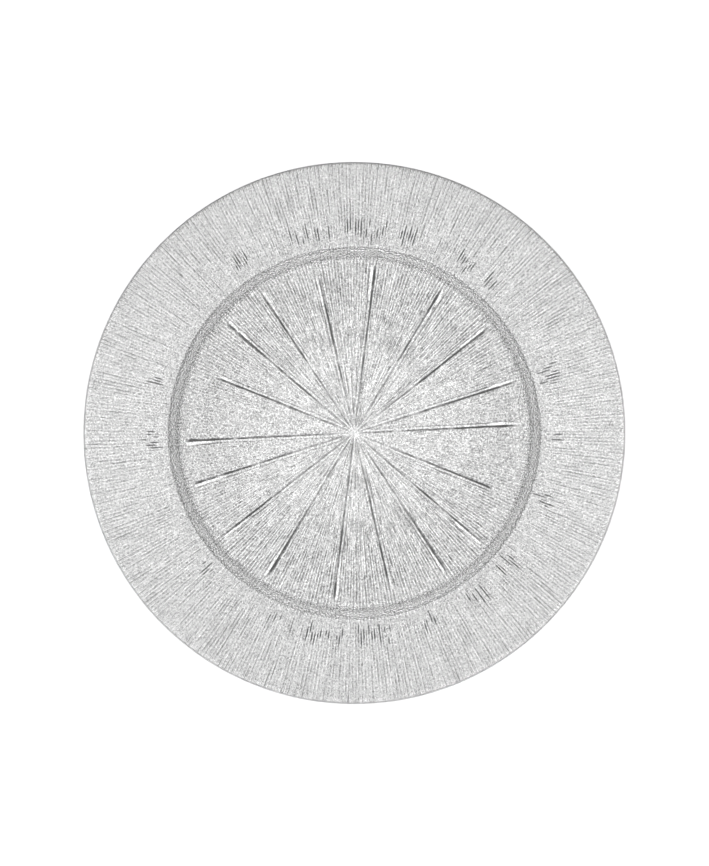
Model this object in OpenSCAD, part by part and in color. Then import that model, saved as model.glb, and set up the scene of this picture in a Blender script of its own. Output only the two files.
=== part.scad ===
// Charger plate of slumped clear glass, silvered on its back.
// The mould presses the sunburst into the underside of the glass: bold rays and fine lines in the
// well, flutes on the rim. A shallow trace of them shows on the face, and both coats follow them.
// The axis of the plate is Z, and the plate stands on the plane Z = 0.

/* [Plate] */
// Diameter over the rim
plate_d = 330; // [290:1:360]
// Thickness of the glass sheet
glass_t = 4; // [3:0.1:5]
// Width of the ground bevel on both edges of the sheet
arris_w = 0.5; // [0.3:0.05:1]

/* [Well] */
// Diameter of the flat floor
floor_d = 208; // [190:0.2:211]
// Inside radius of the mould's bend from the floor to the wall
floor_bend_r = 8; // [6:0.5:10]
// Slope of the wall
wall_angle = 48; // [38:1:58]
// Level width of the wall, from the floor to the rim
wall_w = 11; // [10.5:0.1:16]

/* [Rim] */
// Height that the rim gains from the shoulder to the edge
rim_rise = 6; // [2:0.5:9]
// Radius of the mould's bend at the shoulder
shoulder_bend_r = 1.5; // [1:0.1:2.5]

/* [Bold rays] */
// Radius at which the bold rays start
hub_r = 5; // [4:0.5:10]
// Flat left between the longest bold rays and the bend of the wall
ray_margin = 2.3; // [0.5:0.1:20]
// Width of a bold ray at its outer end
ray_w = 2.4; // [1.5:0.1:3]
// Depth of a bold ray at its outer end
ray_depth = 0.7; // [0.4:0.1:1]

/* [Fine lines] */
// Angle between neighbouring lines, about
line_angle = 3.3; // [3:0.1:6]
// Radius at which the long lines start
long_line_r = 24; // [20:1:35]
// Radius at which the short lines start
short_line_r = 46; // [40:1:70]
// Flat left between the end of a line and the bend of the wall
line_margin = 1.5; // [0.5:0.5:10]
// Width of a line
line_w = 0.9; // [0.4:0.1:1.2]
// Depth of a line
line_depth = 0.4; // [0.2:0.1:0.8]

/* [Rim flutes] */
// Number of flutes on the rim, an even number
flute_count = 180; // [60:2:240]
// Gap from the shoulder to the start of the long flutes
long_flute_gap = 3; // [2:1:10]
// Gap from the shoulder to the start of the short flutes
short_flute_gap = 10; // [8:1:30]
// Width of a flute
flute_w = 1.4; // [0.5:0.1:1.8]
// Depth of a flute
flute_depth = 0.5; // [0.2:0.1:0.8]

/* [Face] */
// Share of a groove's depth that shows on the face of the glass
trace_share = 0.4; // [0.1:0.1:0.6]

/* [Coats] */
// Thickness of the silver coat
silver_t = 0.2; // [0.1:0.05:0.3]
// Thickness of the backing lacquer
lacquer_t = 0.3; // [0.2:0.05:0.5]

/* [Hidden] */

// Directions of the bold rays over half a turn, and how much of the full reach each one has.
// The other half turn repeats them.
ray_angles = [2.7, 17.7, 38.2, 58.7, 83, 103, 123.6, 139.2, 158.1];
ray_reach_shares = [1, 0.98, 1, 0.98, 1, 0.96, 1, 0.98, 0.88];
ray_count = len(ray_angles);
half_turn = 180;

// How far a large cutter runs past the surface that it cuts, and how far a groove's does
overrun = 1;
groove_overrun = 0.1;
// Flats that stand for a bend in the section, and for a full turn
bend_steps = 8;
turn_steps = 360;

plate_r = plate_d / 2;
floor_r = floor_d / 2;
rim_in_r = floor_r + wall_w;
base_h = silver_t + lacquer_t;
rim_angle = atan(rim_rise / (plate_r - rim_in_r));

// The section is worked out on the underside of the glass: the floor, an arc, the straight wall,
// an arc over the shoulder and the straight rim, each tangent to the next.
shoulder_x = rim_in_r + shoulder_bend_r * sin(rim_angle);
wall_run = shoulder_x - floor_r - (floor_bend_r + shoulder_bend_r) * sin(wall_angle);
shoulder_z = base_h + floor_bend_r * (1 - cos(wall_angle)) + wall_run * tan(wall_angle)
    - shoulder_bend_r * cos(wall_angle);

// The surface that lies the distance h inside the underside of the glass, or below it where h
// is negative. These give its two arcs and the height of its rim at the radius x.
function floor_bend(h) = [
    for (i = [0:bend_steps])
        let (turn = wall_angle * i / bend_steps, r = floor_bend_r - h)
            [floor_r + r * sin(turn), base_h + floor_bend_r - r * cos(turn)]
];
function shoulder_bend(h) = [
    for (i = [0:bend_steps])
        let (turn = wall_angle + (rim_angle - wall_angle) * i / bend_steps, r = shoulder_bend_r + h)
            [shoulder_x - r * sin(turn), shoulder_z + r * cos(turn)]
];
function rim_z(h, x) = shoulder_z + (shoulder_bend_r + h) / cos(rim_angle)
    + (x - shoulder_x) * tan(rim_angle);
function sheet(h, end_r) = concat(
    [[0, base_h + h]],
    floor_bend(h),
    shoulder_bend(h),
    [[end_r, rim_z(h, end_r)]]
);
function backwards(points) = [for (i = [len(points) - 1:-1:0]) points[i]];

// A layer of the plate between two such surfaces, out to the radius end_r
module layer(low, high, end_r, edge = []) {
    rotate_extrude($fn = turn_steps)
        polygon(concat(sheet(low, end_r), edge, backwards(sheet(high, end_r))));
}

// A groove with the section of a V, along X from start to end. It has its width and depth at
// Z = 0, and its flanks run on to the distance below under that.
module vee(start, end, width, depth, below) {
    half_w = width / 2 * (depth + below) / depth;
    translate([start, 0, 0])
        rotate([90, 0, 90])
            linear_extrude(end - start)
                polygon([[-half_w, -below], [half_w, -below], [0, depth]]);
}

// A bold ray, which grows from nothing at the hub to its full width and depth at its end. An
// inset shortens that end and leaves the flanks as they are.
module ray(reach, depth, below, inset) {
    rise = atan(depth / (reach - hub_r));
    intersection() {
        translate([hub_r, 0, 0])
            rotate([0, -rise, 0])
                translate([0, 0, -depth])
                    vee(-overrun, reach - hub_r + overrun, ray_w, depth, depth + below);
        translate([0, -plate_r, -below])
            cube([reach - inset, plate_d, below + depth]);
    }
}

// The rays and lines of the well. Equal fine lines fill the gap between two bold rays, and every
// other one is short.
module well_grooves(below, share, inset) {
    for (half = [0:1], k = [0:ray_count - 1]) {
        a = ray_angles[k] + half * half_turn;
        next = k + 1 < ray_count ? ray_angles[k + 1] : ray_angles[0] + half_turn;
        gap = next - ray_angles[k];
        lines = round(gap / line_angle);
        rotate([0, 0, a])
            ray((floor_r - ray_margin) * ray_reach_shares[k], ray_depth * share, below, inset);
        for (j = [1:lines - 1])
            rotate([0, 0, a + gap * j / lines])
                vee((j % 2 == 0 ? long_line_r : short_line_r) + inset,
                    floor_r - line_margin - inset, line_w, line_depth * share, below);
    }
}

// All grooves of the sunburst, in the surface that lies the distance h inside the underside of
// the glass, with a share of their full depth. Their flanks run on to the distance below behind
// that surface. They point up, or down where flip is 1. Under the glass a groove's closed ends
// move in as its flanks do, so a coat covers them too.
module sunburst(h, below, share = 1, flip = 0) {
    inset = max(-h, 0);
    translate([0, 0, base_h + h])
        mirror([0, 0, flip])
            well_grooves(below, share, inset);
    for (i = [0:flute_count - 1]) {
        start = rim_in_r + (i % 2 == 0 ? long_flute_gap : short_flute_gap) + inset;
        rotate([0, 0, 2 * half_turn * i / flute_count])
            translate([start, 0, rim_z(h, start)])
                rotate([0, -rim_angle, 0])
                    mirror([0, 0, flip])
                        vee(0, (plate_r + overrun - start) / cos(rim_angle), flute_w,
                            flute_depth * share, below);
    }
}

// The glass: a sheet of one thickness with a ground edge, the sunburst in its underside and a
// shallow trace of it on the face
module glass_plate() {
    color([0.82, 0.9, 0.9, 0.4])
        difference() {
            layer(0, glass_t, plate_r - arris_w, [
                [plate_r, rim_z(0, plate_r) + arris_w],
                [plate_r, rim_z(glass_t, plate_r) - arris_w]
            ]);
            sunburst(0, groove_overrun);
            sunburst(glass_t, groove_overrun, trace_share, 1);
        }
}

// A coat that follows the sunburst, from the distance low to the distance high inside the
// underside of the glass. It ends where the bevel of the glass starts.
module coat(low, high) {
    difference() {
        intersection() {
            union() {
                layer(low, high, plate_r + overrun);
                sunburst(high, (high - low) / 2);
            }
            translate([0, 0, -overrun])
                cylinder(h = rim_z(overrun, plate_r) + overrun, r = plate_r - arris_w,
                    $fn = turn_steps);
        }
        sunburst(low, groove_overrun);
    }
}

// The silver: a thin coat on the back of the glass
module silver_coating() {
    color([0.78, 0.79, 0.8])
        coat(-silver_t, 0);
}

// The lacquer: the coat over the silver, which meets the table
module backing_lacquer() {
    color([0.5, 0.51, 0.53])
        coat(-base_h, -silver_t);
}

glass_plate();
silver_coating();
backing_lacquer();
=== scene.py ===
# %% [markdown]
# # A silver charger plate
#
# A charger plate is the wide decorative plate that stays on the table under a dinner plate. This
# one is a sheet of clear glass that sagged into a hot mould. The mould pressed a sunburst into
# the underside: bold rays and hundreds of fine ribs. A coat of silver and a coat of lacquer were
# then sprayed on the back, so what we look at is silver, seen through glass.
#
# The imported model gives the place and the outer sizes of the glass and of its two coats. It has
# about a third of the ribs. Each piece is modelled again here with all of them, in the same place.

# %% Load the frame
import math

import bmesh
import bpy
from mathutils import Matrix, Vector, noise


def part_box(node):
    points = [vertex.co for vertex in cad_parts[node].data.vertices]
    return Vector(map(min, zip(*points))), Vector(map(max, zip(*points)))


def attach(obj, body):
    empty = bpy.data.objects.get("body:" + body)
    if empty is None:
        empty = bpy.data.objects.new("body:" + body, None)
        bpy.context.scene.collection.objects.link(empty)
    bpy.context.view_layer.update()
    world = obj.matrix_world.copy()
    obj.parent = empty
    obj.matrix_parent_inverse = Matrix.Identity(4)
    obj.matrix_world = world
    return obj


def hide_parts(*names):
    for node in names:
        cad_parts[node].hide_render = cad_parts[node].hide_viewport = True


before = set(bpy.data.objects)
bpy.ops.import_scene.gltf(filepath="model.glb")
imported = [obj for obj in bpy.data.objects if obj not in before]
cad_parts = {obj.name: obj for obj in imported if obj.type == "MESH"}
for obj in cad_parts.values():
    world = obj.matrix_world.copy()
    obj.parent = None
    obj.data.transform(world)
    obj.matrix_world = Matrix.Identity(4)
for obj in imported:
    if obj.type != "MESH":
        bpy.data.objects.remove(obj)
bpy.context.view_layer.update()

print("CAD nodes:", sorted(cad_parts))

# %% [markdown]
# ## The section of the plate
#
# Cut through the middle, the plate is one line: a flat floor, a bend, a steep wall, a tight
# shoulder and a rim that still rises a little. The line could be drawn once for each surface, but
# the glass and both coats follow the same mould. So it is drawn once, on the underside of the
# glass, and every station on it also says which way a thicker or a thinner layer moves.

# %% Driving sizes
# The box of the glass gives its place and its radius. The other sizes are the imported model's.
MM = 0.001
glass_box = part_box("glass_plate")
UNDERSIDE = glass_box[0].z
PLATE_RADIUS = glass_box[1].x
GLASS = 4 * MM
ARRIS = 0.5 * MM
SILVER = 0.2 * MM
FLOOR_RADIUS = 104 * MM
FLOOR_BEND = 8 * MM
WALL_TILT = math.radians(48)
WALL_WIDTH = 11 * MM
SHOULDER_BEND = 1.5 * MM
RIM_RISE = 6 * MM
RIM_START = FLOOR_RADIUS + WALL_WIDTH
RIM_TILT = math.atan(RIM_RISE / (PLATE_RADIUS - RIM_START))
COAT_RADIUS = PLATE_RADIUS - ARRIS
print("rim tilt in degrees:", round(math.degrees(RIM_TILT), 2))

# %% Stations along the section
class Station:
    """A ring of the underside. A layer lies at radius + out * lift and height + up * lift."""

    def __init__(self, radius, height, tilt, spokes, on_rim=False):
        self.radius = radius
        self.height = height
        self.spokes = spokes
        self.out = 0 if on_rim else -math.sin(tilt)
        self.up = 1 / math.cos(tilt) if on_rim else math.cos(tilt)

    def at(self, lift):
        """The radius and the height of a surface with this lift."""
        return self.radius + self.out * lift, self.height + self.up * lift


def spread(first, last, count):
    """Even values after first, up to and with last."""
    return [first + (last - first) * (i + 1) / count for i in range(count)]


# %% The whole line
def section(zones, bend_steps, wall_spokes, rim_radii):
    """Stations from the centre to the edge. A zone is (first radius, last, rings, spokes)."""
    stations = [
        Station(radius, UNDERSIDE, 0, spokes)
        for first, last, rings, spokes in zones
        for radius in spread(first, last, rings)
    ]
    for tilt in spread(0, WALL_TILT, bend_steps):
        radius = FLOOR_RADIUS + FLOOR_BEND * math.sin(tilt)
        height = UNDERSIDE + FLOOR_BEND * (1 - math.cos(tilt))
        stations.append(Station(radius, height, tilt, wall_spokes))
    middle = RIM_START + SHOULDER_BEND * math.sin(RIM_TILT)
    run = middle - FLOOR_RADIUS - (FLOOR_BEND + SHOULDER_BEND) * math.sin(WALL_TILT)
    wall_top = stations[-1].height + run * math.tan(WALL_TILT)
    centre = wall_top - SHOULDER_BEND * math.cos(WALL_TILT)
    for tilt in [WALL_TILT] + spread(WALL_TILT, RIM_TILT, bend_steps):
        radius = middle - SHOULDER_BEND * math.sin(tilt)
        height = centre + SHOULDER_BEND * math.cos(tilt)
        stations.append(Station(radius, height, tilt, wall_spokes))
    rim_foot = stations[-1]
    for radius in rim_radii:
        height = rim_foot.height + (radius - rim_foot.radius) * math.tan(RIM_TILT)
        stations.append(Station(radius, height, RIM_TILT, wall_spokes, on_rim=True))
    return stations


# %% [markdown]
# How many stations and spokes a side needs depends on whether it shows. On the pressed side each
# rib of the rim gets five spokes, enough for a crest, its flanks and the gap to the next rib.
# Nearer the centre the spokes would crowd, and a half and then a quarter of them are enough. The
# hidden side of a layer only has to follow the section, with a tenth of them.

# %% Fine and plain stations
RIM_RIBS = 472
SPOKES = 5 * RIM_RIBS
FINE_ZONES = [
    # first radius, last radius, rings and spokes
    (0 * MM, 1 * MM, 1, SPOKES // 4),
    (1 * MM, 14 * MM, 5, SPOKES // 4),
    (14 * MM, 46 * MM, 8, SPOKES // 2),
    (46 * MM, FLOOR_RADIUS, 13, SPOKES),
]
FINE_RIM = [117, 119.2, 121.4, 123.6, 125.8, 128, 132, 138, 145, 153, 162.8]
FINE_BEND_STEPS = 4
PLAIN_SPOKES = SPOKES // 10
PLAIN_ZONES = [(0, FLOOR_RADIUS, 3, PLAIN_SPOKES)]
PLAIN_RIM = spread(RIM_START, COAT_RADIUS, 2)
PLAIN_BEND_STEPS = 6
FINE = section(FINE_ZONES, FINE_BEND_STEPS, SPOKES, [r * MM for r in FINE_RIM] + [COAT_RADIUS])
PLAIN = section(PLAIN_ZONES, PLAIN_BEND_STEPS, PLAIN_SPOKES, PLAIN_RIM)
print("rings on a fine side and on a plain side:", len(FINE), len(PLAIN))

# %% [markdown]
# ## The fine ribs
#
# Near the centre there is room for few ribs, and at the edge for hundreds. On the real plate new
# ribs keep starting between the old ones, so that the pitch stays at about two millimetres. Start
# radii could be random, but then ribs crowd in one place and leave another bare. The reversed
# binary number is regular and still gives neighbours very different values, so ribs fill in evenly.
#
# A rib is a spoke of the mesh that is lifted into the glass. Its neighbours stay where they are, so
# each rib has two flanks that catch the light. In the photograph one flank of most ribs is darker
# and the crest is brighter, more than a lamp makes them. So each spoke also has painted shading,
# which is added to the grey of the silver: a painted highlight on the crest and painted shade on
# the flank.
#
# To the right and left of the centre the photograph hardly shows the ribs of the well. So their
# painted highlights and shade are weakest there, and have their full strength from 45 degrees up or
# down, where the sine of the direction reaches CROSSWISE_FROM. The silver's finish fades its
# streaks the same way.

# %% What a rib is like
WELL_RIBS = 333
WELL_FULL = 100 * MM
RIM_FULL = 128 * MM
RIB_HALF_WIDTH = 0.65 * MM
RIB_DEPTH = 0.1 * MM
RIB_LENGTH = 9 * MM
HUB_RADIUS = 3 * MM
CROSSWISE_FROM = 0.7
WEAKEST = 0.15
STRONGEST = 0.8
RIM_CREST = 0.55
RIM_FLANK = 0.8
# Strengths of the painted highlight on crests and ridges, and of the painted shade on flanks,
# creases and dashes.
PAINTED_HIGHLIGHT = 0.3
PAINTED_SHADE = -0.75


def fill_in(i, bits=9):
    """A value from 0 to 1 that differs widely between neighbours."""
    return int(format(i, "0%db" % bits)[::-1], 2) / 2**bits


print("the first ribs start at these shares of the way:", [fill_in(i) for i in range(4)])

# %% [markdown]
# The mould is worked out one ring at a time and apart from the mesh: for each spoke of a ring, how
# far it is lifted and what painted shading it gets, a painted highlight or painted shade. Shapes
# could be placed on the mesh one by one, but rings let hundreds of ribs share one short rule. A
# later mark never makes a spoke lower, so a rib runs into the ray that it meets.

# %% One ring of the mould
class Ring:
    """What the mould does to one ring: the lift of each spoke and the painted shading of its
    silver.
    """

    def __init__(self, station):
        self.radius = station.radius
        self.spokes = station.spokes
        self.pitch = math.tau * station.radius / station.spokes
        self.lift = [0.0] * station.spokes
        self.tone = [0.0] * station.spokes

    def mark(self, spoke, lift, tone):
        """Lifts a spoke, if it isn't higher already, and sets its painted shading."""
        spoke %= self.spokes
        self.lift[spoke] = max(self.lift[spoke], lift)
        self.tone[spoke] = tone


# %% [markdown]
# On the rim the photograph shows short dark dashes just outside the shoulder, where new ribs start.
# They are painted shade on the silver.
# Placing each one would take hundreds of numbers. But they stand in groups of a few degrees, so a
# short list of groups places them, and inside a group most ribs have one.

# %% Groups of dark dashes
DASH_FROM = 120 * MM
DASH_TO = 127 * MM
DASH_STAGGER = 6 * MM
DASH_SHADE = -0.15
DASH_GROUPS = [
    # heading of the middle and half the width, in degrees
    (-1, 2), (17, 3), (48, 2), (57, 4), (76, 4), (87, 6), (103, 6), (123, 3), (166, 2), (182, 3),
    (223, 3), (247, 2), (262, 5), (276, 5), (292, 2), (308, 3), (320, 3), (341, 2),
]


def in_group(heading, radius):
    """Whether a place on the rim has dark dashes. Its heading is in degrees."""
    outside = min(abs((heading - place + 180) % 360 - 180) - half for place, half in DASH_GROUPS)
    return outside < 0 and DASH_FROM < radius < DASH_TO


# %% [markdown]
# No two ribs in the photograph are alike, and none is the same from end to end. Random numbers
# would make them jump from ring to ring, so smooth noise gives each rib its own slow change of
# depth and painted shading, over about RIB_LENGTH. A step is how far neighbouring ribs lie apart in
# the noise, and a layer keeps two changes apart. Where ribs end at the edge, the upper part of the
# plate gets dots of painted shade, which darken its edge at the top.

# %% The painted shading of a rib
WAVE_LAYER = 0.5
WAVE_STEP = 3.7
SHADE_LAYER = 8.5
SHADE_STEP = 5.3
DEPTH_CHANGE = 0.9
CREST_EVEN = 0.7
FLANK_EVEN = 0.2
RIM_FLANK_EVEN = 0.1
# Dots of painted shade where the ribs end at the upper part of the edge.
UPPER_EDGE_FROM = 0.3
UPPER_EDGE_SHADE = 0.7 * PAINTED_SHADE


def waver(rib, radius, layer):
    """A slow change around 0 along a rib or ray. The three numbers are a place in the noise."""
    return noise.noise(Vector((rib, radius / RIB_LENGTH, layer)))


def rib_painted_shading(on_rim, upwards, wave, shade):
    """The painted highlight of a rib's crest and the painted shade of its flank, which is dark only
    where shade is high.
    """
    if on_rim:
        crest, flank, even = RIM_CREST, RIM_FLANK, RIM_FLANK_EVEN
    else:
        crest = WEAKEST + (STRONGEST - WEAKEST) * min(1, abs(upwards) / CROSSWISE_FROM)
        flank, even = crest, FLANK_EVEN
    return PAINTED_HIGHLIGHT * crest * (CREST_EVEN + wave), PAINTED_SHADE * flank * max(0, shade + even)


# %% Press the ribs
def press_ribs(ring):
    """Marks the ribs that have started by this ring. New ones fill in from the inside out."""
    on_rim = ring.radius > RIM_START
    count = RIM_RIBS if on_rim else WELL_RIBS
    first, full = (RIM_START, RIM_FULL) if on_rim else (0, WELL_FULL)
    half = max(1, round(RIB_HALF_WIDTH / ring.pitch))
    for rib in range(count):
        if ring.radius < first + (full - first) * fill_in(rib):
            continue
        wave = waver(rib * WAVE_STEP, ring.radius, WAVE_LAYER)
        shade = waver(rib * SHADE_STEP, ring.radius, SHADE_LAYER)
        upwards = math.sin(rib / count * math.tau)
        crest, flank = rib_painted_shading(on_rim, upwards, wave, shade)
        middle = round(rib * ring.spokes / count)
        for side in range(1 - half, half):
            height = 1 - abs(side) / half
            lift = RIB_DEPTH * (1 + DEPTH_CHANGE * wave) * height
            ring.mark(middle + side, lift, crest * height)
        ring.mark(middle + half, 0, flank)
        place = (rib / count * 360, ring.radius - DASH_STAGGER * wave)
        if on_rim and shade > DASH_SHADE and in_group(*place):
            ring.mark(middle - half, 0, PAINTED_SHADE)
            ring.mark(middle - half - 1, 0, PAINTED_SHADE)
        if ring.radius == COAT_RADIUS and upwards > UPPER_EDGE_FROM:
            ring.mark(middle + half, 0, UPPER_EDGE_SHADE)


# %% [markdown]
# ## The bold rays
#
# Nine bold rays spread over each half turn, at uneven angles that were read from the photograph.
# Across, a ray is a crease in painted shade, a low ridge with a painted highlight and a second,
# fainter crease in painted shade. The second crease is on the left of some rays and on the right of
# others. Towards its end a ray gets wider, and its painted highlight brighter.
# They could be modelled as separate strips, but a strip would need its own edge against the ribs.
# So a ray simply takes over the spokes that it crosses.

# %% What a ray is like
RAYS = [
    # heading in degrees, reach in millimetres, and 1 if the ridge is anticlockwise of its crease
    (2.7, 102, 1), (17.7, 100, 1), (38.2, 102, 1), (58.7, 100, -1), (83, 102, 1), (103, 98, 1),
    (123.6, 102, -1), (139.2, 100, -1), (158.1, 90, -1),
]
RAY_WIDTH = 2.2 * MM
RAY_FULL_FROM = 8 * MM
RAY_SLOPE = 0.15
RAY_DARK_FROM = 70 * MM
RAY_FLARE_FROM = 84 * MM
RAY_STAGGER = 12 * MM
CREASE = 0.22
CREASE_RUNS_ON = 1.3
CREASE_FADES = 0.3
CREASE_AT_HUB = 0.2
CREASE_ON_FLARE = 0.8
SECOND_CREASE = 0.45
RIDGE = 0.35
RIDGE_ON_FLARE = 1.6
FLARE_WIDTH = 1.2
FLARE_CHANGE = 0.5
RAY_LAYER = 5.5


def ray_painted_shading(ring, wave):
    """The painted shade of the crease, the painted highlight of the ridge, and how much wider a ray
    is.
    """
    outward = min(1, ring.radius / RAY_DARK_FROM)
    dark = PAINTED_SHADE * (CREASE_AT_HUB + (1 - CREASE_AT_HUB) * outward) * (1 + wave)
    if ring.radius - RAY_STAGGER * wave > RAY_FLARE_FROM:
        wider = FLARE_WIDTH + FLARE_CHANGE * wave
        return CREASE_ON_FLARE * dark, PAINTED_HIGHLIGHT * (RIDGE_ON_FLARE + wave), wider
    return dark, PAINTED_HIGHLIGHT * RIDGE, 1


# %% Press the rays
def press_rays(ring):
    """Marks the bold rays that reach this ring: a crease, a ridge and a fainter crease."""
    width = RAY_WIDTH * min(1, ring.radius / RAY_FULL_FROM)
    for turn in (0, 180):
        for degrees, reach, way in RAYS:
            if ring.radius > reach * MM:
                continue
            wave = waver(degrees + turn, 2 * ring.radius, RAY_LAYER)
            dark, bright, wider = ray_painted_shading(ring, wave)
            steps = round(width / ring.pitch * wider)
            middle = round((degrees + turn) / 360 * ring.spokes)
            for step in range(-round(CREASE_RUNS_ON * CREASE * steps), steps + 1):
                across = step / steps
                height = width * RAY_SLOPE * max(0, min(across, 1 - across, CREASE))
                if across < CREASE:
                    tone = dark * (1 - CREASE_FADES * abs(across) / CREASE)
                elif across < 1 - CREASE:
                    tone = bright
                else:
                    tone = SECOND_CREASE * dark
                ring.mark(middle + way * step, height, tone)


print("bold rays:", 2 * len(RAYS))

# %% [markdown]
# ## From rings to a shell
#
# Each layer is grown outwards from a small disc: its edge loop is extruded and scaled to the next
# station. Where more ribs have to fit in, every edge of the loop is halved first, which doubles the
# spokes. Spinning a profile would be shorter, but then the centre would have as many spokes as
# the edge. Loops with different numbers of spokes could be bridged, but near the centre such
# bridges came out twisted. Halving an edge moves nothing and opens nothing.

# %% Grow a side
def of_kind(items, kind):
    return [item for item in items if isinstance(item, kind)]


def step_out(bm, edges, scale):
    """Extrudes an edge loop and scales the new one. Returns its vertices and edges."""
    made = bmesh.ops.extrude_edge_only(bm, edges=edges)["geom"]
    verts = of_kind(made, bmesh.types.BMVert)
    bmesh.ops.scale(bm, vec=(scale, scale, 1), verts=verts)
    return verts, [edge for edge in of_kind(made, bmesh.types.BMEdge) if edge.is_boundary]


def halve(bm, edges):
    """Cuts each edge of a loop in two. Returns the new vertices and all edges of the loop."""
    made = bmesh.ops.bisect_edges(bm, edges=edges, cuts=1)["geom_split"]
    middles = of_kind(made, bmesh.types.BMVert)
    return middles, [edge for vert in middles for edge in vert.link_edges]


def grow(bm, stations, lift):
    """Rings of faces from the centre outwards. The ring layer holds each vertex's station."""
    ring = bm.verts.layers.int["ring"]
    last_radius = stations[0].at(lift)[0]
    verts = bmesh.ops.create_circle(bm, segments=stations[0].spokes, radius=last_radius)["verts"]
    # A set would list these edges in another order each run, and a dict keeps their order
    edges = list(dict.fromkeys(edge for vert in verts for edge in vert.link_edges))
    bmesh.ops.contextual_create(bm, geom=edges)
    for number, station in enumerate(stations):
        radius, height = station.at(lift)
        if station.spokes > len(edges):
            middles, edges = halve(bm, edges)
            for vert in middles:
                vert[ring] = number - 1
        if number:
            verts, edges = step_out(bm, edges, radius / last_radius)
        for vert in verts:
            vert.co.z = height
            vert[ring] = number
        last_radius = radius
    return edges


# %% [markdown]
# A side is pressed while it is the only one in the bmesh. Each vertex knows its station from the
# ring layer, and its direction gives the spoke, so it can look up its lift and its painted shading.
# Last, it strays a little sideways, because the ribs in the photograph aren't quite straight.

# %% Press a side
SWAY = 0.15 * MM
SWAYS_PER_METRE = 45
SWAY_LAYER = 3.1


def sway(place):
    """How far the ribs stray sideways, in metres. It changes slowly over the plate."""
    across, along = place.x * SWAYS_PER_METRE, place.y * SWAYS_PER_METRE
    return SWAY * noise.noise(Vector((across, along, SWAY_LAYER)))


def press(bm, stations, share):
    """Presses the sunburst into a grown side, with a share of its depth."""
    number = bm.verts.layers.int["ring"]
    tone = bm.verts.layers.float["tone"]
    rings = [Ring(station) for station in stations]
    for ring in rings:
        if ring.radius > HUB_RADIUS:
            press_ribs(ring)
            press_rays(ring)
    for vert in bm.verts:
        ring = rings[vert[number]]
        turn = math.atan2(vert.co.y, vert.co.x) / math.tau
        spoke = round(turn * ring.spokes) % ring.spokes
        vert[tone] = ring.tone[spoke]
        vert.co.z += share * ring.lift[spoke]
        side = Vector((-vert.co.y, vert.co.x, 0)).normalized()
        vert.co += side * sway(vert.co)


# %% [markdown]
# A layer has two sides, and both end in an open loop of edges at the rim. A bridge between the
# loops closes the layer, and then all normals are turned outwards. The ribs are soft and are
# shaded smooth, and the edge of the rim stays sharp. An angle in degrees tells the two apart.

# %% From a bmesh to a piece
def as_piece(bm, name, sharp):
    """Makes an object of a closed bmesh, and prints how large it is and whether it is closed."""
    bm.verts.layers.int.remove(bm.verts.layers.int["ring"])
    open_edges = sum(not edge.is_manifold for edge in bm.edges)
    print(name, "open edges:", open_edges)
    print(name, "volume in cubic millimetres:", round(bm.calc_volume() / MM**3))
    mesh = bpy.data.meshes.new(name)
    bm.to_mesh(mesh)
    bm.free()
    mesh.shade_smooth()
    mesh.set_sharp_from_angle(angle=math.radians(sharp))
    mesh.calc_loop_triangles()
    print(name, "triangles:", len(mesh.loop_triangles))
    piece = bpy.data.objects.new(name, mesh)
    bpy.context.scene.collection.objects.link(piece)
    return piece


# %% Close a layer
def shell(name, pressed_lift, share, plain_lift, edge=(), sharp=60):
    """A layer between a pressed and a plain side. Edge gives the radius and height of loops."""
    bm = bmesh.new()
    bm.verts.layers.float.new("tone")
    bm.verts.layers.int.new("ring")
    pressed_edges = grow(bm, FINE, pressed_lift)
    press(bm, FINE, share)
    edges = grow(bm, PLAIN, plain_lift)
    radius = COAT_RADIUS
    for wider, height in edge:
        verts, edges = step_out(bm, edges, wider / radius)
        for vert in verts:
            vert.co.z = height
        radius = wider
    bmesh.ops.bridge_loops(bm, edges=edges + pressed_edges)
    bmesh.ops.recalc_face_normals(bm, faces=bm.faces)
    return as_piece(bm, name, sharp)


# %% [markdown]
# ## The silver
#
# On the real plate this is a film that takes the exact shape of the pressed glass. It could be a
# single sheet of faces, but a solid piece needs a back as well, so it is a thin closed shell. Its
# pressed side lies a hair inside the glass, so the two surfaces never fight for the same place.

# %% Make the silver
SEATING = 0.03 * MM
silver = shell("silver", SEATING, 1, -SILVER)
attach(silver, "root")
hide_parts("silver_coating")

# %% [markdown]
# ## The lacquer
#
# The coat that protects the silver is the side that meets the table. A sprayed coat softens what
# is under it and still shows it, so the sunburst can be felt on the back. Its pressed side faces
# down here, and the same lifts that are crests in the silver are shallow grooves in it. Its plain
# side is hidden inside the silver.

# %% Make the lacquer
LACQUER_PRESS = 1.4
LACQUER_TOP = -0.8 * SILVER
lacquer = shell("lacquer", -UNDERSIDE, LACQUER_PRESS, LACQUER_TOP)
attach(lacquer, "root")
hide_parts("backing_lacquer")

# %% [markdown]
# ## The glass
#
# Sagging glass keeps its thickness, so its face runs parallel to its underside. The pattern of
# the mould is almost lost on the way through, and the face shows only a faint trace of it. The
# face could be left smooth, but then the whole plate would flash at once in low light. So it is
# pressed too, with a small share of the depth and downwards. The edge is ground to a bevel above
# and below, which takes two more loops round the outside.

# %% Make the glass
FACE_TRACE = -0.15
rim_edge_low = PLAIN[-1].at(0)[1]
rim_edge_high = PLAIN[-1].at(GLASS)[1]
ground_edge = [(PLATE_RADIUS, rim_edge_low + ARRIS), (PLATE_RADIUS, rim_edge_high - ARRIS)]
glass = shell("glass", GLASS, FACE_TRACE, 0, ground_edge, sharp=25)
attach(glass, "root")
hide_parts("glass_plate")

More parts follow.
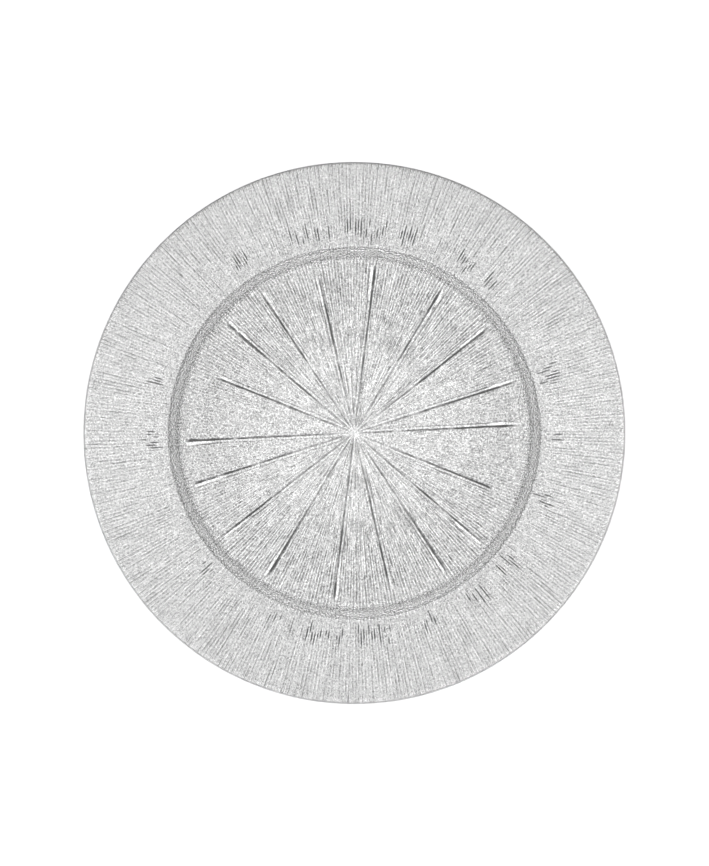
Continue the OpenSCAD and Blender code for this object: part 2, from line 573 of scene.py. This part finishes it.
# %% [markdown]
# ## Finishes
#
# A material is a small graph of nodes. Written out link by link it is long and hard to read, so a
# wrapped socket lets plain Python sums add the nodes, as in 1 - mask or streaks * 0.5. Numbers go
# through Math nodes, and places, directions and colours through Vector Math nodes.

# %% Sockets as numbers
class Field:
    """A value in a finish. Sums and products of fields add nodes."""

    def __init__(self, finish, socket):
        self.finish = finish
        self.socket = socket

    def __add__(self, other):
        return self.finish.maths("ADD", self, other)

    __radd__ = __add__

    def __sub__(self, other):
        return self.finish.maths("SUBTRACT", self, other)

    def __rsub__(self, other):
        return self.finish.maths("SUBTRACT", other, self)

    def __mul__(self, other):
        return self.finish.maths("MULTIPLY", self, other)

    __rmul__ = __mul__


def is_vector(value):
    """Whether a value is a tuple or a field of three numbers, and not a single number."""
    if isinstance(value, Field):
        return value.socket.type != "VALUE"
    return isinstance(value, tuple)


# %% A finish
DARKEST = 0.05


class Finish:
    """A material with one Principled shader, whose constant inputs are set by name."""

    def __init__(self, name, **constants):
        self.material = bpy.data.materials.new(name)
        self.material.use_nodes = True
        self.tree = self.material.node_tree
        self.shader = self.tree.nodes["Principled BSDF"]
        for key, value in constants.items():
            self.shader.inputs[key.replace("_", " ")].default_value = value

    def node(self, kind, output, settings=(), inputs=()):
        """Adds a node, makes its settings, fills or links its inputs, and returns one output."""
        node = self.tree.nodes.new(kind)
        for key, value in dict(settings).items():
            setattr(node, key, value)
        for key, value in dict(inputs).items():
            self.feed(node.inputs[key], value)
        return Field(self, node.outputs[output])

    def feed(self, socket, value):
        if isinstance(value, Field):
            self.tree.links.new(value.socket, socket)
        else:
            socket.default_value = value

    def show(self, **inputs):
        """Feeds inputs of the shader by name."""
        for key, value in inputs.items():
            self.feed(self.shader.inputs[key.replace("_", " ")], value)

    def maths(self, operation, first, second=0.0):
        """Numbers give a Math node, and a place, a direction or a colour a Vector Math node."""
        kind = "ShaderNodeMath"
        if is_vector(first) or is_vector(second):
            kind = "ShaderNodeVectorMath"
        return self.node(kind, 0, {"operation": operation}, {0: first, 1: second})

    def cosine(self, angle):
        return self.maths("COSINE", angle)

    def attribute(self, name):
        return self.node("ShaderNodeAttribute", "Fac", {"attribute_name": name})

    def ramp(self, value, first, last):
        """0 up to the first value, 1 from the last one on, and a straight rise between them."""
        inputs = {"Value": value, "From Min": first, "From Max": last}
        return self.node("ShaderNodeMapRange", "Result", (), inputs)

    def neutral(self, value):
        """The colour whose three channels have this value."""
        channels = {"Red": value, "Green": value, "Blue": value}
        return self.node("ShaderNodeCombineColor", "Color", (), channels)

    def grey(self, value):
        """A neutral colour, kept between nearly black and white."""
        return self.neutral(self.maths("MINIMUM", self.maths("MAXIMUM", value, DARKEST), 1.0))

    def grain(self, place, scale, detail=2.0):
        """Noise around 0, with about so many grains to a metre."""
        inputs = {"Vector": place, "Scale": scale, "Detail": detail}
        return self.node("ShaderNodeTexNoise", "Fac", (), inputs) - 0.5

    def bump(self, height, distance):
        inputs = {"Height": height, "Distance": distance, "Strength": 1.0}
        self.show(Normal=self.node("ShaderNodeBump", "Normal", (), inputs))


# %% Round the centre
class PlateFinish(Finish):
    """A finish that knows how far a point lies from the centre, and which way.

    Its crosswise mask is 0 to the right and left of the centre, and 1 from 45 degrees on.
    """

    def __init__(self, name, **constants):
        super().__init__(name, **constants)
        self.place = self.node("ShaderNodeTexCoord", "Object")
        flat = self.place * (1, 1, 0)
        unit, length = {"operation": "NORMALIZE"}, {"operation": "LENGTH"}
        self.heading = self.node("ShaderNodeVectorMath", "Vector", unit, {0: flat})
        self.radius = self.node("ShaderNodeVectorMath", "Value", length, {0: flat})
        self.turn = self.maths("ARCTAN2", self.part("Y"), self.part("X"))
        self.crosswise = self.ramp(self.maths("ABSOLUTE", self.part("Y")), 0.0, CROSSWISE_FROM)

    def part(self, axis):
        """A component of the direction: Y is its sine, from -1 at the bottom to 1 at the top."""
        return self.node("ShaderNodeSeparateXYZ", axis, (), {"Vector": self.heading})

    def beyond(self, first, last):
        """A mask that rises from 0 to 1 from the first radius to the last, in millimetres."""
        return self.ramp(self.radius, first * MM, last * MM)

    def streaks(self, count, along):
        """Dashes that point outwards: about so many in a turn, each about so long."""
        lengths = {"Z": self.radius * (1 / (along * MM))}
        outward = self.node("ShaderNodeCombineXYZ", "Vector", (), lengths)
        return self.grain(self.heading * (count / 4, count / 4, 0) + outward, 1, 1)

    def zone(self, start, end):
        """A mask for a ring. Start and end each give the radii of a soft edge."""
        return self.beyond(*start) - self.beyond(*end)


def dress(piece, finish):
    """Gives a piece its finish, and prints how many nodes it took."""
    piece.data.materials.clear()
    piece.data.materials.append(finish.material)
    print(piece.name, "has", len(finish.tree.nodes), "nodes")


# %% [markdown]
# ## The silver's finish
#
# Seen through the glass, the silver shows several patterns at once. Streaks follow the ribs, as
# painted highlights and painted shade in the colour and as a bump. They are strongest above and
# below the centre, from 45 degrees on. To the right and left of the centre the silver looks like
# fine sand: a grain whose painted sparkle is stronger there. A picture could carry all this, but
# nodes keep it sharp at any size, and they can use the same numbers as the mesh.
#
# Narrow streaks would crowd at the hub, so each zone of the plate has its own number of them.

# %% Streaks and sand
floor_edge = FLOOR_RADIUS / MM
rim_edge = RIM_START / MM
coat = PlateFinish("silver", Metallic=1.0, Roughness=0.2)
on_rim = coat.beyond(rim_edge - 1, rim_edge + 1)
outer_rim = coat.beyond(125, 145)
outer_well = coat.zone((62, 78), (floor_edge + 1, floor_edge + 5))
STREAK_ZONES = [
    # streaks in a turn, their length, and the radii where a zone fades in and where it fades out
    (60, 30, (3, 8), (15, 28)),
    (140, 20, (15, 28), (40, 60)),
    (360, 8, (40, 60), (floor_edge - 1, floor_edge + 3)),
]
# Streaks: painted highlights and painted shade along the ribs, also used in the bump.
streaks = sum(coat.streaks(*size) * coat.zone(start, end) for *size, start, end in STREAK_ZONES)
streaks = streaks * (WEAKEST + coat.crosswise * (STRONGEST - WEAKEST)) * (1 - outer_well * 0.35)
streaks = streaks + coat.streaks(620, 16) * on_rim * (0.18 + coat.crosswise * 0.16)
sand = coat.grain(coat.place, 1100) * (1 - on_rim * 0.1 - outer_rim * 0.1)
print("zones of streaks in the well:", len(STREAK_ZONES))

# %% [markdown]
# In the outer well the dark gaps between the ribs can be counted in the photograph, and they are
# broken into dashes. They are painted shade between the ribs. A cosine of the direction has its
# lows exactly between the ribs of the mesh. On the wall the ribs run out in rows of soft dots,
# painted highlights where each rib crosses the bend. The dots could be raised in the mesh, but its
# rings lie too far apart there. Two cosines multiplied give such rows, one round the plate and one
# outwards. Noise shakes both, and short streaks are added, so that the rows don't look woven.

# %% Gaps and dots
DOT_ROWS = 1.85 * MM
on_wall = coat.zone((floor_edge, floor_edge + 3), (rim_edge - 1.8, rim_edge - 0.4))
low_wall = on_wall * (1 - coat.beyond(rim_edge - 5, rim_edge - 3))
# Painted shade in the gaps between the ribs of the outer well.
gap_shade = 0 - coat.maths("MINIMUM", coat.cosine(coat.turn * WELL_RIBS), 0.0)
gap_shade = gap_shade * coat.ramp(coat.streaks(700, 4), -0.08, 0.08) * outer_well * coat.crosswise
shaken = coat.grain(coat.place, 140, 1) * 2
# Painted highlights in rows of dots on the lower wall.
dot_glints = coat.cosine(coat.radius * (math.tau / DOT_ROWS) + shaken) * 0.5 + 0.5
dot_glints = dot_glints * coat.cosine(coat.turn * WELL_RIBS + shaken) + coat.streaks(700, 5) * 3
dot_glints = dot_glints * low_wall
print("rows of dots on the lower wall:", round((rim_edge - 4 - floor_edge) * MM / DOT_ROWS))

# %% [markdown]
# Real silver has one colour, and the room makes its zones lighter or darker. A studio of five
# lamps can't do that as finely, so the zones differ a little in colour too. The wall mirrors the
# room near the floor instead of the soft boxes, so its silver is paler. The shoulder mirrors the
# lamps and would be too bright, so it is darker, and so is the ring where the bold rays get
# bright. The outermost millimetres are paler, except at the top, where the photograph's edge is
# darker.

# %% Zones of the plate
shoulder = coat.zone((rim_edge - 1, rim_edge), (rim_edge + 1, rim_edge + 4))
flares = coat.zone((84, 88), (96, 100))
inner_well = 1 - coat.beyond(66, 80)
hub = 1 - coat.beyond(2, 16)
below_top = 1 - coat.ramp(coat.part("Y"), 0.2, 0.9)
plate_edge = coat.beyond(162, 164) * below_top
zones = on_wall * 0.26 - shoulder * 0.05 + plate_edge * 0.1 - flares * 0.045
zones = zones + (inner_well + hub - outer_rim) * 0.06 + coat.crosswise * (0.035 - on_rim * 0.065)
print("nodes in the silver so far:", len(coat.tree.nodes))

# %% Put the silver together
SILVER_GREY = 0.627
SILVER_RELIEF = 0.5 * MM
# The colour carries painted light: the shading of the mesh and the streaks are painted highlights
# and painted shade, the dots painted highlights and the gaps painted shade. The sand is grain with
# painted sparkle, stronger to the right and left.
colour = SILVER_GREY + coat.attribute("tone") + zones + streaks * 0.5
colour = colour + sand * (1.5 - coat.crosswise * 0.5) + dot_glints * 0.3 - gap_shade * 0.32
coat.show(Base_Color=coat.grey(colour))
coat.bump(streaks * 1.5 + sand + dot_glints * 0.06, SILVER_RELIEF)
dress(silver, coat)

# %% [markdown]
# ## The lacquer's finish
#
# A sprayed protective paint is satin, with the fine orange peel that a spray gun leaves and slow
# changes of shade where the coat is thicker. Where the plate stands on its floor, the paint rubs
# against tables: short scuffs there are paler and rougher. The silver's painted shading of the mesh
# is also laid on its colour, turned round: painted shade in the grooves, and paler lines where the
# silver's flanks and creases are darkened.

# %% Mix the lacquer
PAINT_TINT = (0.84, 0.86, 0.9)
PAINT_RELIEF = 0.12 * MM
paint = PlateFinish("lacquer")
mottle = paint.grain(paint.place, 25, 3)
peel = paint.grain(paint.place, 500)
rubbed = paint.zone((floor_edge - 12, floor_edge - 2), (floor_edge - 2, floor_edge + 3))
scuffs = rubbed * paint.ramp(paint.streaks(90, 3) + paint.streaks(500, 12), 0.05, 0.25)
# The shading of the mesh puts painted shade in the grooves and paler lines along the silver's
# darkened flanks.
shade = 0.5 + mottle * 0.09 + peel * 0.07 + scuffs * 0.16 - paint.attribute("tone") * 0.17
paint.show(Base_Color=paint.grey(shade) * PAINT_TINT)
paint.show(Roughness=0.42 + mottle * 0.2 + scuffs * 0.3)
paint.bump(peel + mottle, PAINT_RELIEF)
dress(lacquer, paint)

# %% [markdown]
# ## The glass's finish
#
# The face of the sheet was never touched by the mould, so it is fire-polished: perfectly clear,
# with slow waves of a few centimetres from the sagging. The bevels and the edge are ground, which
# leaves them frosted. They could be a second material, but one shader can do both, if a mask on the
# radius drives its roughness. In the photograph the edge is a dark line along the upper part of the
# plate, so the ground glass there gets painted shade, a darker colour towards the top.

# %% Clear and frosted glass
GLASS_RELIEF = 0.2 * MM
ground_from = COAT_RADIUS / MM
clear = PlateFinish("glass", Base_Color=(1, 1, 1, 1), IOR=1.5, Transmission_Weight=1.0)
ground = clear.beyond(ground_from - 0.1, ground_from)
clear.show(Roughness=ground * (0.4 + clear.grain(clear.place, 900) * 0.2))
# Painted shade: the ground glass is darker towards the top of the plate.
painted_top_shade = clear.ramp(clear.part("Y"), 0.2, 0.9)
clear.show(Base_Color=clear.grey(1 - ground * painted_top_shade * 0.6))
clear.bump(clear.grain(clear.place, 45, 1), GLASS_RELIEF)
dress(glass, clear)

# %% [markdown]
# ## The studio
#
# The photograph has no hard light and no shadow, and still one sector of the plate is brighter
# than the next. Silver shows the shape of its lights, so the studio is five soft boxes: one
# straight above the plate, which the camera looks through, strong ones behind and in front, and
# weak ones at the sides. A box is given by how bright it looks, because a mirror shows just that,
# and its power follows from its size. The top one leans by a hundredth of a degree, which tells
# which way its width lies.

# %% Soft boxes
SOFT_BOXES = [
    # name, heading and angle from straight above in degrees, width, height, distance, brightness
    ("lamp_top", 90, 0.01, 1.1, 1.1, 1.6, 0.65),
    ("lamp_back", 90, 41, 1.35, 1.05, 1.5, 1.2),
    ("lamp_front", -90, 41, 1.35, 1.05, 1.5, 1.2),
    ("lamp_right", 0, 41, 0.7, 1.05, 1.5, 0.5),
    ("lamp_left", 180, 41, 0.7, 1.05, 1.5, 0.5),
]


def soft_box(name, heading, away, width, height, distance, brightness):
    """A rectangle of even light that faces the plate."""
    turn = math.radians(heading)
    tip = math.radians(away)
    sideways = distance * math.sin(tip)
    lamp = bpy.data.lights.new(name, "AREA")
    lamp.shape = "RECTANGLE"
    lamp.size = width
    lamp.size_y = height
    lamp.energy = brightness * math.pi * width * height
    holder = bpy.data.objects.new(name, lamp)
    above = distance * math.cos(tip)
    holder.location = (sideways * math.cos(turn), sideways * math.sin(turn), above)
    holder.rotation_euler = (-holder.location).to_track_quat("-Z", "Y").to_euler()
    holder.visible_camera = False
    bpy.context.scene.collection.objects.link(holder)
    print(name, "power in watts:", round(lamp.energy, 2))


for box in SOFT_BOXES:
    soft_box(*box)

# %% [markdown]
# Between the soft boxes the silver mirrors the room. A room could be built of walls, but in silver
# with so fine a grain a world of one even grey looks much the same.

# %% The room
ROOM_LIGHT = 0.75
world = bpy.data.worlds.new("studio")
world.use_nodes = True
background = world.node_tree.nodes["Background"]
background.inputs["Color"].default_value = (1, 1, 1, 1)
background.inputs["Strength"].default_value = ROOM_LIGHT
bpy.context.scene.world = world

# %% [markdown]
# The plate stands on a plain pale floor. Lit like the plate, the floor comes out a light grey,
# and the photograph's ground is white. More light would wash out the silver, so the floor glows
# a little instead, for the camera only. It still darkens under the plate, so the shadow stays.

# %% The floor
FLOOR_GLOW = 0.35
FLOOR_DROP = 0.05 * MM
FLOOR_HALF_WIDTH = 3
bm = bmesh.new()
bmesh.ops.create_grid(bm, x_segments=1, y_segments=1, size=FLOOR_HALF_WIDTH)
bmesh.ops.translate(bm, vec=(0, 0, -FLOOR_DROP), verts=bm.verts)
floor_mesh = bpy.data.meshes.new("floor")
bm.to_mesh(floor_mesh)
bm.free()
floor = bpy.data.objects.new("floor", floor_mesh)
bpy.context.scene.collection.objects.link(floor)
pale = Finish("floor", Base_Color=(0.9, 0.9, 0.9, 1), Roughness=0.9, Emission_Strength=1.0)
seen = pale.node("ShaderNodeLightPath", "Is Camera Ray")
pale.show(Emission_Color=pale.neutral(seen * FLOOR_GLOW))
dress(floor, pale)

# %% [markdown]
# ## The camera
#
# The photograph was taken from straight above. The plate's outline in it is a circle to within a
# pixel, and its centre, measured from the upper left corner, and its radius fix where the camera
# stands. The lens isn't known. A long one far away was chosen, which shows the rim and the floor
# at nearly the same scale. The camera could be shifted or turned to bring the plate to its place.
# It moves sideways instead, by the centre's distance from the middle of the picture.

# %% Place the camera
PHOTO_WIDTH = 709
PHOTO_HEIGHT = 866
PLATE_CENTRE = (354.4, 433)
PLATE_PIXELS = 270.85
LENS = 135
SENSOR = 36
edge_level = glass_box[1].z - GLASS / 2
pixel = PLATE_RADIUS / PLATE_PIXELS
camera_data = bpy.data.cameras.new("camera")
camera_data.lens = LENS
camera_data.sensor_width = SENSOR
camera = bpy.data.objects.new("camera", camera_data)
camera.location = (
    (PHOTO_WIDTH / 2 - PLATE_CENTRE[0]) * pixel,
    (PLATE_CENTRE[1] - PHOTO_HEIGHT / 2) * pixel,
    edge_level + pixel * PHOTO_HEIGHT * LENS / SENSOR,
)
bpy.context.scene.collection.objects.link(camera)
bpy.context.scene.camera = camera
print("camera height in metres:", round(camera.location.z, 3))

# %% [markdown]
# ## The view settings
#

# %% View settings and the end
bpy.context.scene.view_settings.view_transform = "Standard"
